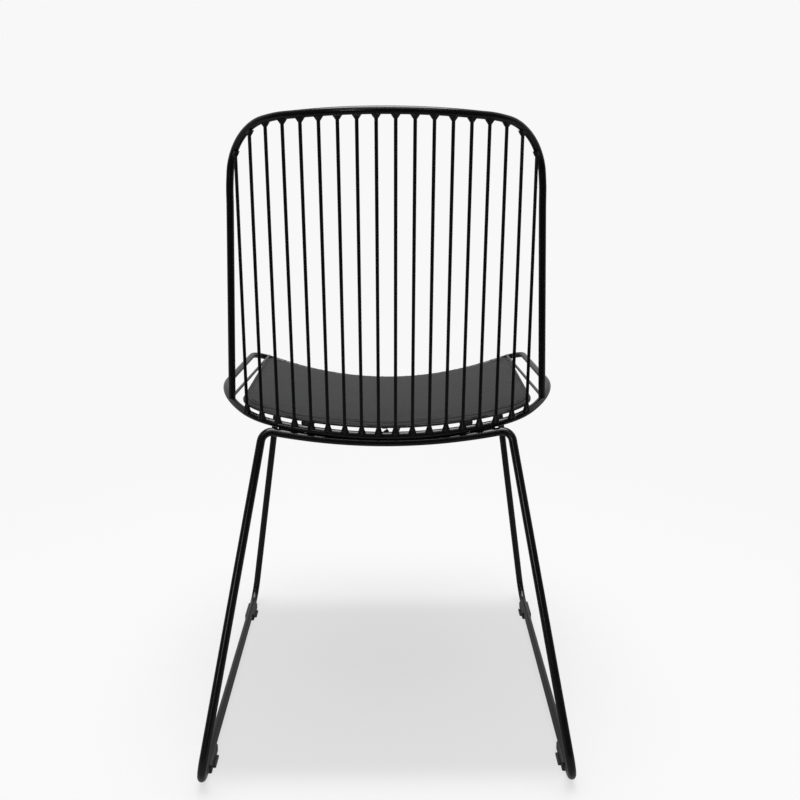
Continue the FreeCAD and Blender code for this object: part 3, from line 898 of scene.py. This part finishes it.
    def swell_cushion(self, piece: bpy.types.Object) -> None:
        """Swells the cushion with a cloth simulation, keeps the seams down, and applies the result.

        Args:
            piece: The cushion, with its resting mesh.
        """
        held = piece.vertex_groups.new(name="held")
        held.add(self.pinned, 1.0, "REPLACE")
        cloth = piece.modifiers.new("swell", "CLOTH")
        cloth.settings.quality = self.cloth_quality
        cloth.settings.use_pressure = True
        cloth.settings.uniform_pressure_force = self.pressure
        cloth.settings.tension_stiffness = self.tension
        cloth.settings.compression_stiffness = self.compression
        cloth.settings.bending_stiffness = self.bending
        cloth.settings.shrink_min = -self.loosening
        cloth.settings.effector_weights.gravity = 0.0
        cloth.settings.vertex_group_mass = held.name
        cloth.collision_settings.use_collision = False
        scene = bpy.context.scene
        rest = [vertex.co.copy() for vertex in piece.data.vertices]
        for step in range(self.settle_frames):
            scene.frame_set(step + 1)
        swollen = piece.evaluated_get(bpy.context.evaluated_depsgraph_get())
        moved = [vertex.co - start for vertex, start in zip(swollen.data.vertices, rest)]
        LOG.info("cushion swells by up to %.2f mm", 1000.0 * max(shift.length for shift in moved))
        piece.modifiers.remove(cloth)
        piece.vertex_groups.remove(held)
        scene.frame_set(1)
        for vertex, start, shift in zip(piece.data.vertices, rest, moved):
            depth = self.depth_inside(start)
            cap = self.swell_margin + (self.swell - self.swell_margin) * depth
            length = max(shift.length, 1e-9)
            vertex.co = start + shift * (cap * math.tanh(length / cap) / length)

    def depth_inside(self, point: Vector) -> float:
        """How far a point is inside the seams, from 0 at them to 1 in the open middle."""
        side = self.outline.half_width * self.outline.flare(point.y) - abs(point.x)
        ends = min(self.outline.rear - point.y, point.y - self.outline.front)
        return min(1.0, max(0.0, (min(side, ends) - self.seams[1]) / self.swell_reach))

    def make_cushion(self) -> bpy.types.Object:
        """Makes the leather cushion."""
        piece = new_piece("pad_cushion", self.build_cushion())
        self.swell_cushion(piece)
        smooth = piece.modifiers.new("smooth", "SUBSURF")
        smooth.levels = 1
        smooth.render_levels = 1
        self.workshop.paint(piece, "pad_leather")
        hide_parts("pad_cover", "pad_foam")
        return piece

    def make_base_cloth(self) -> bpy.types.Object:
        """Makes the woven panel under the cushion, a thin closed slab whose edge is turned up."""
        steps = self.cloth_steps
        points, faces, numbers = [], [], {}
        middle = 0.5 * (self.outline.rear + self.outline.front)
        for layer in (0, 1):
            for i in range(-steps, steps + 1):
                for j in range(-steps, steps + 1):
                    ring = max(abs(i), abs(j))
                    x, y = self.outline.place(i / max(ring, 1), j / max(ring, 1), self.cloth_inset)
                    share = ring / steps
                    thickness = self.cloth_edge if ring == steps else self.cloth_thickness
                    x, y = x * share, middle + (y - middle) * share
                    numbers[(layer, i, j)] = len(points)
                    points.append(self.seat.over_pad_floor(x, y, layer * thickness))
        for cell in grid_cells(steps):
            faces.append([numbers[(1, *corner)] for corner in cell])
            faces.append([numbers[(0, *corner)] for corner in reversed(cell)])
        span = range(-steps, steps)
        edge = [(i, -steps) for i in span] + [(steps, j) for j in span]
        edge += [(-i, steps) for i in span] + [(-steps, -j) for j in span]
        for first, second in zip(edge, edge[1:] + edge[:1]):
            wall = ((0, *first), (0, *second), (1, *second), (1, *first))
            faces.append([numbers[corner] for corner in wall])
        piece = new_piece("pad_base_cloth", smooth_mesh("pad_base_cloth", points, faces))
        self.workshop.paint(piece, "pad_backing")
        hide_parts("pad_bottom_panel")
        return piece

    def make_stitches(self, cushion: bpy.types.Object) -> list[bpy.types.Object]:
        """Makes the two rows of stitches that lie in the cushion's seams.

        Args:
            cushion: The finished cushion.

        Returns:
            The two pieces.
        """
        surface = BVHTree.FromObject(cushion, bpy.context.evaluated_depsgraph_get())
        pieces = []
        for name, inset in zip(("pad_stitches_outer", "pad_stitches_inner"), self.seams):
            spots = self.outline.walk(inset, self.stitch_pitch)
            row = CapsuleRow()
            for here, ahead in zip(spots, spots[1:] + spots[:1]):
                hit, normal, _, _ = surface.ray_cast(Vector((*here, 1.0)), Vector((0, 0, -1)))
                heading = Vector((*ahead, 0.0)) - Vector((*here, 0.0))
                heading = (heading - normal * heading.dot(normal)).normalized()
                row.add(hit + normal * (self.thread_rise * self.thread), heading, normal, self.stitch_length,
                        self.thread)
            piece = new_piece(name, row.mesh(name))
            self.workshop.paint(piece, "sewing_thread")
            pieces.append(piece)
        return pieces


class CapsuleRow:
    """Many small rounded bars in one mesh, such as stitches or a zip's teeth."""

    sides = 6
    rings = ((-0.5, 0.35), (-0.38, 0.85), (0.0, 1.0), (0.38, 0.85), (0.5, 0.35))
    arching = 0.35

    def __init__(self) -> None:
        """Starts with no bar."""
        self.points: list[Vector] = []
        self.faces: list[list[int]] = []

    def add(self, centre: Vector, along: Vector, up: Vector, length: float, diameter: float) -> None:
        """Adds one bar.

        Args:
            centre: The bar's middle.
            along: Its direction.
            up: The direction in which it bulges.
            length: Its length.
            diameter: Its thickness.
        """
        side = along.cross(up).normalized()
        start = len(self.points)
        for place, full in self.rings:
            arch = up * (diameter * self.arching * (full - 1.0))
            middle = centre + along * (place * length) + arch
            for number in range(self.sides):
                turn = 2.0 * math.pi * number / self.sides
                radial = side * math.cos(turn) + up * math.sin(turn)
                self.points.append(middle + radial * (0.5 * diameter * full))
        self.faces += loft_faces(len(self.rings) - 1, self.sides, start)

    def mesh(self, name: str) -> bpy.types.Mesh:
        """Gives the bars as one mesh."""
        return smooth_mesh(name, self.points, self.faces)


@dataclass
class PadZip:
    """Coil zip in the pad's rear edge: tape, teeth, and the metal slider and puller of the frame."""

    seat: SeatSurface
    outline: PadOutline
    workshop: Workshop
    nodes: dict[str, bpy.types.Object]
    half_length: float = 0.120
    tape_section: tuple[tuple[float, float], ...] = (
        (0.0002, -0.00190), (0.0010, -0.00030), (0.0019, 0.00033), (0.0026, 0.00010), (0.0031, -0.00050),
        (0.0026, -0.00150), (0.0016, -0.00170))
    tape_steps: int = 60
    tooth_pitch: float = 0.0016
    tooth_length: float = 0.0017
    tooth_width: float = 0.0008
    tooth_height: float = 0.0019
    tooth_stand: float = 0.00045
    tooth_lean: float = 0.25

    def rear_point(self, x: float, lift: float, stand: float) -> Vector:
        """Point behind the pad's rear edge.

        Args:
            x: Place across.
            lift: Height over the pad's floor.
            stand: Distance behind the edge.

        Returns:
            The point.
        """
        y = self.outline.rear - self.outline.bow_radius + math.sqrt(self.outline.bow_radius ** 2 - x * x)
        return Vector((x, y + stand, self.seat.height(x, y, self.seat.pad_gap + lift)))

    def make_tape(self) -> bpy.types.Object:
        """Makes the woven tape, a shallow closed strip that bulges over the pad's edge."""
        points = []
        for step in range(self.tape_steps + 1):
            x = self.half_length * (2.0 * step / self.tape_steps - 1.0)
            points += [self.rear_point(x, lift, stand) for lift, stand in self.tape_section]
        faces = loft_faces(self.tape_steps, len(self.tape_section))
        piece = new_piece("zip_tape", smooth_mesh("zip_tape", points, faces))
        self.workshop.paint(piece, "zip_tape")
        return piece

    def make_teeth(self) -> bpy.types.Object:
        """Makes the coil's teeth, which lean in turn one way and the other."""
        row = CapsuleRow()
        count = int(self.half_length / self.tooth_pitch)
        for number in range(-count, count + 1):
            x = number * self.tooth_pitch
            centre = self.rear_point(x, self.tooth_height, self.tooth_stand)
            lean = self.tooth_lean if number % 2 else -self.tooth_lean
            row.add(centre, Vector((lean, 0.0, 1.0)).normalized(), Vector((0, 1, 0)), self.tooth_length,
                    self.tooth_width)
        piece = new_piece("zip_teeth", row.mesh("zip_teeth"))
        self.workshop.paint(piece, "glide_plastic")
        return piece

    def make(self) -> list[bpy.types.Object]:
        """Makes the zip and finishes its slider and puller."""
        for name in ("zip_slider", "zip_puller"):
            self.workshop.paint(self.nodes[name], "zip_metal")
        return [self.make_tape(), self.make_teeth()]


@dataclass
class PadStrap:
    """Loop of webbing under the pad, sewn to it on both sides of a seat wire."""

    name: str
    seat: SeatSurface
    workshop: Workshop
    thickness: float = 0.0013
    corner: float = 0.0028
    corner_steps: int = 5
    rows: int = 12
    ripple: float = 0.0002
    ripple_turns: float = 7.0
    soft_edge: float = 0.00025

    def section(self, half: float, depth: float, inset: float) -> list[tuple[float, float]]:
        """U of the loop, from one sewn end round to the other.

        Args:
            half: Half the loop's width.
            depth: Its depth.
            inset: How far inside the outer face.

        Returns:
            Points across and down.
        """
        radius = self.corner - inset
        points = [(half - inset, 0.0)]
        for step in range(self.corner_steps + 1):
            turn = 0.5 * math.pi * step / self.corner_steps
            points.append((half - self.corner + radius * math.cos(turn),
                           -depth + self.corner - radius * math.sin(turn)))
        return points + [(-x, z) for x, z in reversed(points)]

    def make(self) -> bpy.types.Object:
        """Makes the strap in the place of its solid."""
        low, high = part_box(self.name)
        x = 0.5 * (low.x + high.x)
        slope = self.seat.slope(x, high.y)
        tilt = math.atan(slope)
        down = Vector((math.sin(tilt), 0.0, -math.cos(tilt)))
        across = Vector((math.cos(tilt), 0.0, math.sin(tilt)))
        width = (high.x - low.x - (high.z - low.z) * math.sin(abs(tilt))) / math.cos(tilt) ** 2
        width = min(width, high.x - low.x)
        top = self.seat.over_pad_floor(x, high.y)
        depth = (top.z - low.z) * math.cos(tilt) - 0.5 * width * abs(math.sin(tilt))
        points = []
        outer = self.section(0.5 * width, depth, 0.0)
        inner = self.section(0.5 * width, depth, self.thickness)
        loop = outer + list(reversed(inner))
        for row in range(self.rows + 1):
            y = low.y + (high.y - low.y) * row / self.rows
            wave = 1.0 + self.ripple / depth * math.sin(self.ripple_turns * row / self.rows)
            base = self.seat.over_pad_floor(x, y)
            points += [base + across * u - down * (v * wave) for u, v in loop]
        size = len(loop)
        faces = loft_faces(self.rows, size, capped=False)
        last = self.rows * size
        half = len(outer)
        for start in (0, last):
            for number in range(half - 1):
                across_wall = [number, number + 1, size - 2 - number, size - 1 - number]
                pair = [start + corner for corner in across_wall]
                faces.append(pair if start else list(reversed(pair)))
        piece = new_piece(f"{self.name}_webbing", smooth_mesh(self.name, points, faces))
        bevel = piece.modifiers.new("soft_edges", "BEVEL")
        bevel.width = self.soft_edge
        bevel.segments = 2
        bevel.limit_method = "ANGLE"
        self.workshop.paint(piece, "webbing")
        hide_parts(self.name)
        return piece


@dataclass
class SeamTab:
    """Narrow plain tab of tape that hangs from the seam under the pad's rear edge."""

    seat: SeatSurface
    outline: PadOutline
    workshop: Workshop
    x: float = -0.0165
    width: float = 0.0028
    thickness: float = 0.0006
    length: float = 0.0090
    lean: float = 0.0030
    inset: float = 0.0012
    root_height: float = 0.0014
    curl: float = 0.0012
    curl_turn: float = 2.2
    steps: int = 8

    def make(self) -> bpy.types.Object:
        """Makes the tab, curled a little towards its end."""
        root = self.seat.over_pad_floor(self.x, self.outline.rear - self.inset, self.root_height)
        points = []
        for step in range(self.steps + 1):
            share = step / self.steps
            centre = root + Vector((self.lean * share, self.curl * math.sin(self.curl_turn * share),
                                    -self.length * share))
            for u, v in SQUARE:
                points.append(centre + Vector((0.5 * self.width * u, 0.5 * self.thickness * v, 0.0)))
        faces = loft_faces(self.steps, len(SQUARE))
        piece = new_piece("pad_seam_tab", smooth_mesh("pad_seam_tab", points, faces))
        self.workshop.paint(piece, "webbing")
        return piece


@dataclass
class ChairFrame:
    """The rods, wires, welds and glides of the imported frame."""

    nodes: dict[str, bpy.types.Object]
    workshop: Workshop

    def finish_for(self, name: str) -> str | None:
        """Name of the finish that a node gets, or None for the soft nodes."""
        if name.startswith(("pad_", "zip_")):
            return None
        if name.endswith("welds"):
            return "coated_weld"
        if "glide" in name:
            return "glide_plastic"
        return "black_powder_coat"

    def dress(self) -> int:
        """Gives each hard node its finish and returns how many there are."""
        count = 0
        for name, node in self.nodes.items():
            finish = self.finish_for(name)
            if finish:
                self.workshop.paint(node, finish)
                count += 1
        return count


@dataclass(frozen=True)
class Studio:
    """White floor and backdrop with a painted shadow between the runners, an overhead soft light, and two
    strips by the camera.
    """

    paper: float = 0.939
    floor_colour: Colour = (0.44, 0.44, 0.44)
    # painted shadow: share of the floor's brightness left between the runners
    shade: float = 0.80
    floor_gloss: float = 0.30
    backdrop_gloss: float = 0.55
    half_size: float = 40.0
    overhead_strength: float = 5.0
    overhead_angle: float = 50.0
    fill_strength: float = 0.60
    # corners and soft edges of the painted shadow between the runners
    rear_half: float = 0.227
    rear_foot: float = 0.279
    front_half: float = 0.2445
    front_foot: float = -0.241
    side_edge: tuple[float, ...] = (-0.012, 0.004, 1.0, 0.0)
    far_edge: tuple[float, ...] = (-0.303, -0.149)
    near_edge: tuple[float, ...] = (0.188, 0.284, 1.0, 0.0)
    gloss_fade: tuple[float, float] = (0.35, 0.75)
    backdrop_turn: tuple[float, float] = (-0.25, 0.15)
    least_gloss: float = 0.03
    glow_by_reach: tuple[float, ...] = (0.5, 1.3, 0.68, 1.0)
    # more glow inside the painted shadow, which weakens the real shadow there
    glow_inside: float = 0.2
    strip_aim: tuple[float, float, float] = (0.0, 0.15, 0.30)
    strip_distance: float = 2.6

    def painted_shadow_footprint(self, sheet: NodeSheet, place: Socket) -> Socket:
        """Mask of the painted shadow on the ground between the runners, soft at the front and the rear.

        Args:
            sheet: The floor's sheet.
            place: Coordinates on the floor.

        Returns:
            The mask, from 0 to 1.
        """
        parts = sheet.add("ShaderNodeSeparateXYZ", {0: place})
        x, y = parts.outputs["X"], parts.outputs["Y"]
        slope = (self.rear_half - self.front_half) / (self.rear_foot - self.front_foot)
        half = sheet.math("MULTIPLY_ADD", y, slope, self.rear_half - slope * self.rear_foot)
        beyond = sheet.math("SUBTRACT", sheet.math("ABSOLUTE", x), half)
        inside = sheet.ramp(beyond, *self.side_edge)
        far = sheet.ramp(y, *self.far_edge)
        near = sheet.ramp(y, *self.near_edge)
        return sheet.math("MULTIPLY", inside, sheet.math("MULTIPLY", far, near))

    def seen(self, sheet: NodeSheet) -> tuple[Socket, Socket]:
        """Tells what kind of ray arrives.

        Args:
            sheet: The sheet of the floor or of the backdrop.

        Returns:
            1 for rays from the camera and through glass, and 1 for rays from gloss, otherwise 0.
        """
        path = sheet.add("ShaderNodeLightPath")
        looks = sheet.math("ADD", path.outputs["Is Camera Ray"], path.outputs["Is Transmission Ray"],
                           clamp=True)
        return looks, path.outputs["Is Glossy Ray"]

    def make_floor(self) -> bpy.types.Object:
        """Lays the floor, which is paper white where it is looked at, keeps part of the chair's real shadow,
        and carries a painted shadow between the runners.
        """
        size = self.half_size
        corners = [Vector((u * size, v * size, 0.0)) for u, v in SQUARE]
        floor = bpy.data.objects.new("floor", smooth_mesh("floor", corners, [[0, 1, 2, 3]]))
        bpy.context.scene.collection.objects.link(floor)
        material = bpy.data.materials.new("floor_paper")
        material.use_nodes = True
        material.node_tree.nodes.clear()
        sheet = NodeSheet(material.node_tree)
        place = sheet.add("ShaderNodeTexCoord").outputs["Object"]
        mask = self.painted_shadow_footprint(sheet, place)
        # painted shadow: the floor's colour and its glow darken between the runners
        level = sheet.ramp(mask, 0.0, 1.0, 1.0, self.shade)
        lit = sheet.scale(self.floor_colour, level)
        white = sheet.scale((self.paper,) * 3, level)
        looks, gloss = self.seen(sheet)
        behind = sheet.add("ShaderNodeSeparateXYZ", {0: place}).outputs["Y"]
        gloss_level = sheet.ramp(behind, *self.gloss_fade, self.floor_gloss, self.least_gloss)
        strength = sheet.math("MULTIPLY_ADD", gloss, gloss_level, looks)
        diffuse = sheet.add("ShaderNodeBsdfDiffuse", {"Color": lit})
        glow = sheet.add("ShaderNodeEmission", {"Color": white, "Strength": strength})
        reach = sheet.add("ShaderNodeVectorMath", {0: place}, operation="LENGTH").outputs["Value"]
        away = sheet.ramp(reach, *self.glow_by_reach)
        # inside the painted shadow the glow takes more of the floor, so less real shadow shows
        inside = sheet.math("MULTIPLY_ADD", mask, self.glow_inside, away, clamp=True)
        shown = sheet.math("MULTIPLY", inside, looks)
        share = sheet.math("ADD", shown, gloss, clamp=True)
        mix = sheet.add("ShaderNodeMixShader", {0: share, 1: diffuse.outputs[0], 2: glow.outputs[0]})
        sheet.add("ShaderNodeOutputMaterial", {"Surface": mix.outputs[0]})
        floor.data.materials.append(material)
        return floor

    def make_world(self) -> None:
        """Sets the soft fill light, and the white backdrop that the camera and gloss see."""
        world = bpy.data.worlds.new("studio")
        bpy.context.scene.world = world
        world.use_nodes = True
        world.node_tree.nodes.clear()
        sheet = NodeSheet(world.node_tree)
        looks, gloss = self.seen(sheet)
        toward = sheet.add("ShaderNodeSeparateXYZ", {0: sheet.add("ShaderNodeTexCoord").outputs["Generated"]})
        backdrop = sheet.ramp(toward.outputs["Y"], *self.backdrop_turn, self.backdrop_gloss, self.least_gloss)
        shown = sheet.math("MULTIPLY_ADD", backdrop, gloss, looks, clamp=True)
        hidden = sheet.math("SUBTRACT", sheet.math("SUBTRACT", 1.0, looks), gloss, clamp=True)
        fill = sheet.math("MULTIPLY", hidden, self.fill_strength)
        strength = sheet.math("MULTIPLY_ADD", shown, self.paper, fill)
        light = sheet.add("ShaderNodeBackground", {"Color": (1.0, 1.0, 1.0, 1.0), "Strength": strength})
        sheet.add("ShaderNodeOutputWorld", {"Surface": light.outputs[0]})

    def make_overhead(self) -> None:
        """Hangs the overhead soft light."""
        lamp = bpy.data.lights.new("overhead", "SUN")
        lamp.energy = self.overhead_strength
        lamp.angle = math.radians(self.overhead_angle)
        bpy.context.scene.collection.objects.link(bpy.data.objects.new("overhead", lamp))

    def make_strip(self, name: str, turn: float, rise: float, width: float, height: float,
                   radiance: float) -> None:
        """Sets up one strip light by the camera, which draws the narrow lines on the rods.

        Args:
            name: The lamp's name.
            turn: Degrees to the picture's left of the camera, seen from the chair.
            rise: Degrees above the chair's middle.
            width: The strip's width.
            height: The strip's height.
            radiance: How bright its face is, where the floor's white is about 1.
        """
        a, e = math.radians(turn), math.radians(rise)
        toward = Vector((math.sin(a) * math.cos(e), math.cos(a) * math.cos(e), math.sin(e)))
        lamp = bpy.data.lights.new(name, "AREA")
        lamp.shape = "RECTANGLE"
        lamp.size = width
        lamp.size_y = height
        lamp.energy = radiance * math.pi * width * height
        lamp.use_shadow = False
        strip = bpy.data.objects.new(name, lamp)
        strip.location = Vector(self.strip_aim) + toward * self.strip_distance
        strip.rotation_mode = "QUATERNION"
        strip.rotation_quaternion = toward.to_track_quat("Z", "Y")
        bpy.context.scene.collection.objects.link(strip)

    def make(self) -> None:
        """Sets up the whole studio."""
        self.make_floor()
        self.make_world()
        self.make_overhead()
        self.make_strip("strip_side", turn=22.0, rise=11.0, width=0.42, height=0.60, radiance=6.0)
        self.make_strip("strip_top", turn=0.0, rise=46.0, width=2.6, height=0.26, radiance=4.0)


@dataclass(frozen=True)
class PhotoCamera:
    """The photograph's camera, behind the chair and a little above the seat."""

    place: tuple[float, float, float] = (-0.0057, 1.1594, 0.6916)
    turn: float = -0.011
    tilt: float = 0.123
    lens_mm: float = 36.0
    sensor_mm: float = 36.0
    image_size: float = 800.0
    axis_row: float = 320.0

    def make(self) -> None:
        """Sets up the camera."""
        data = bpy.data.cameras.new("photo_camera")
        data.lens = self.lens_mm
        data.sensor_width = self.sensor_mm
        data.shift_y = (self.axis_row - 0.5 * self.image_size) / self.image_size
        camera = bpy.data.objects.new("photo_camera", data)
        camera.location = self.place
        level = math.cos(self.tilt)
        forward = Vector((math.sin(self.turn) * level, -math.cos(self.turn) * level, -math.sin(self.tilt)))
        camera.rotation_mode = "QUATERNION"
        camera.rotation_quaternion = forward.to_track_quat("-Z", "Y")
        bpy.context.scene.collection.objects.link(camera)
        bpy.context.scene.camera = camera


def report(part: str, pieces: Sequence[bpy.types.Object]) -> None:
    """Logs the pieces of one sub-assembly."""
    for piece in pieces:
        LOG.info("%s: %s, %d faces", part, piece.name, len(piece.data.polygons))


def main() -> None:
    """Builds the chair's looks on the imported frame, and the studio round it."""
    logging.basicConfig(level=logging.INFO, format="%(name)s: %(message)s")
    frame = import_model()
    nodes = frame["nodes"]
    workshop = Workshop()
    LOG.info("frame: %d nodes dressed", ChairFrame(nodes, workshop).dress())
    seat, outline = SeatSurface.from_frame(), PadOutline.from_frame()
    pad = SeatPad(seat, outline, workshop)
    cushion = pad.make_cushion()
    report("pad", [cushion, pad.make_base_cloth(), *pad.make_stitches(cushion)])
    report("zip", PadZip(seat, outline, workshop, nodes).make())
    for name in ("pad_strap_left", "pad_strap_right"):
        report("straps", [PadStrap(name, seat, workshop).make()])
    report("tab", [SeamTab(seat, outline, workshop).make()])
    Studio().make()
    PhotoCamera().make()
    bpy.context.scene.view_settings.view_transform = "Standard"


if __name__ == "__main__":
    main()
